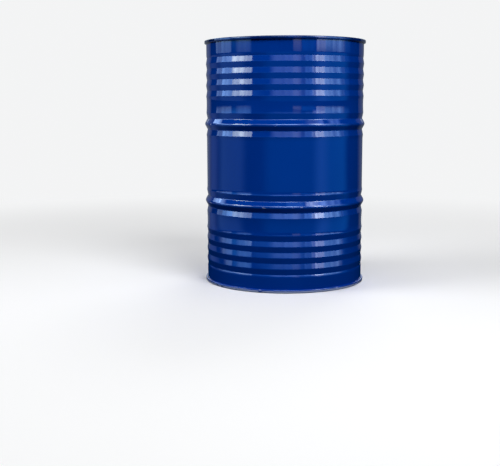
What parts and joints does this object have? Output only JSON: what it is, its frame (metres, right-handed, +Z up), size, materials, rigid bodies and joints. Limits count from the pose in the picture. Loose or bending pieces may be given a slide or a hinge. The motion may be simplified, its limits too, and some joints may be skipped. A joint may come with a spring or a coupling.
{
  "type": "steel oil drum",
  "caption": "Tight-head steel oil drum with rolling hoops, stiffening beads, rolled chimes and screwed bung plugs in its top head.",
  "frame": {"origin": "centre of the drum's base, on the surface that it stands on", "axes": "+Z up along the drum's axis, +X towards the large bung, -X towards the small bung, and the shell's weld towards +Y"},
  "size_m": [0.5862, 0.5863, 0.878],
  "materials": {
    "drum_enamel": "gloss dark blue enamel on steel sheet",
    "zinc_plate": "dull zinc plate on pressed steel",
    "seal_rubber": "matt black rubber",
    "seam_compound": "cured sealing compound"
  },
  "bodies": {
    "drum": {"body_shell": "drum_enamel", "top_head": "drum_enamel", "bottom_head": "drum_enamel", "top_seam_compound": "seam_compound", "bottom_seam_compound": "seam_compound", "large_flange": "zinc_plate", "large_flange_gasket": "seal_rubber", "small_flange": "zinc_plate", "small_flange_gasket": "seal_rubber"},
    "large_seal": {"large_plug_gasket": "seal_rubber"},
    "large_closure": {"large_plug": "zinc_plate"},
    "small_seal": {"small_plug_gasket": "seal_rubber"},
    "small_closure": {"small_plug": "zinc_plate"}
  },
  "joints": [
    {"name": "large_seal_lift", "type": "slide", "parent": "drum", "child": "large_seal", "axis": [0, 0, 1], "range_m": [0, 0.01386]},
    {"name": "large_plug_turn", "type": "hinge", "parent": "large_seal", "child": "large_closure", "pos_m": [0.22195, 0, 0.8605], "axis": [0, 0, 1], "range_deg": [0, 2160]},
    {"name": "small_seal_lift", "type": "slide", "parent": "drum", "child": "small_seal", "axis": [0, 0, 1], "range_m": [0, 0.01089]},
    {"name": "small_plug_turn", "type": "hinge", "parent": "small_seal", "child": "small_closure", "pos_m": [-0.2412, 0, 0.8605], "axis": [0, 0, 1], "range_deg": [0, 2160]}
  ],
  "couplings": [
    {"joint": "large_seal_lift", "follows": "large_plug_turn", "m_per_rad": 0.00036749},
    {"joint": "small_seal_lift", "follows": "small_plug_turn", "m_per_rad": 0.00028871}
  ]
}
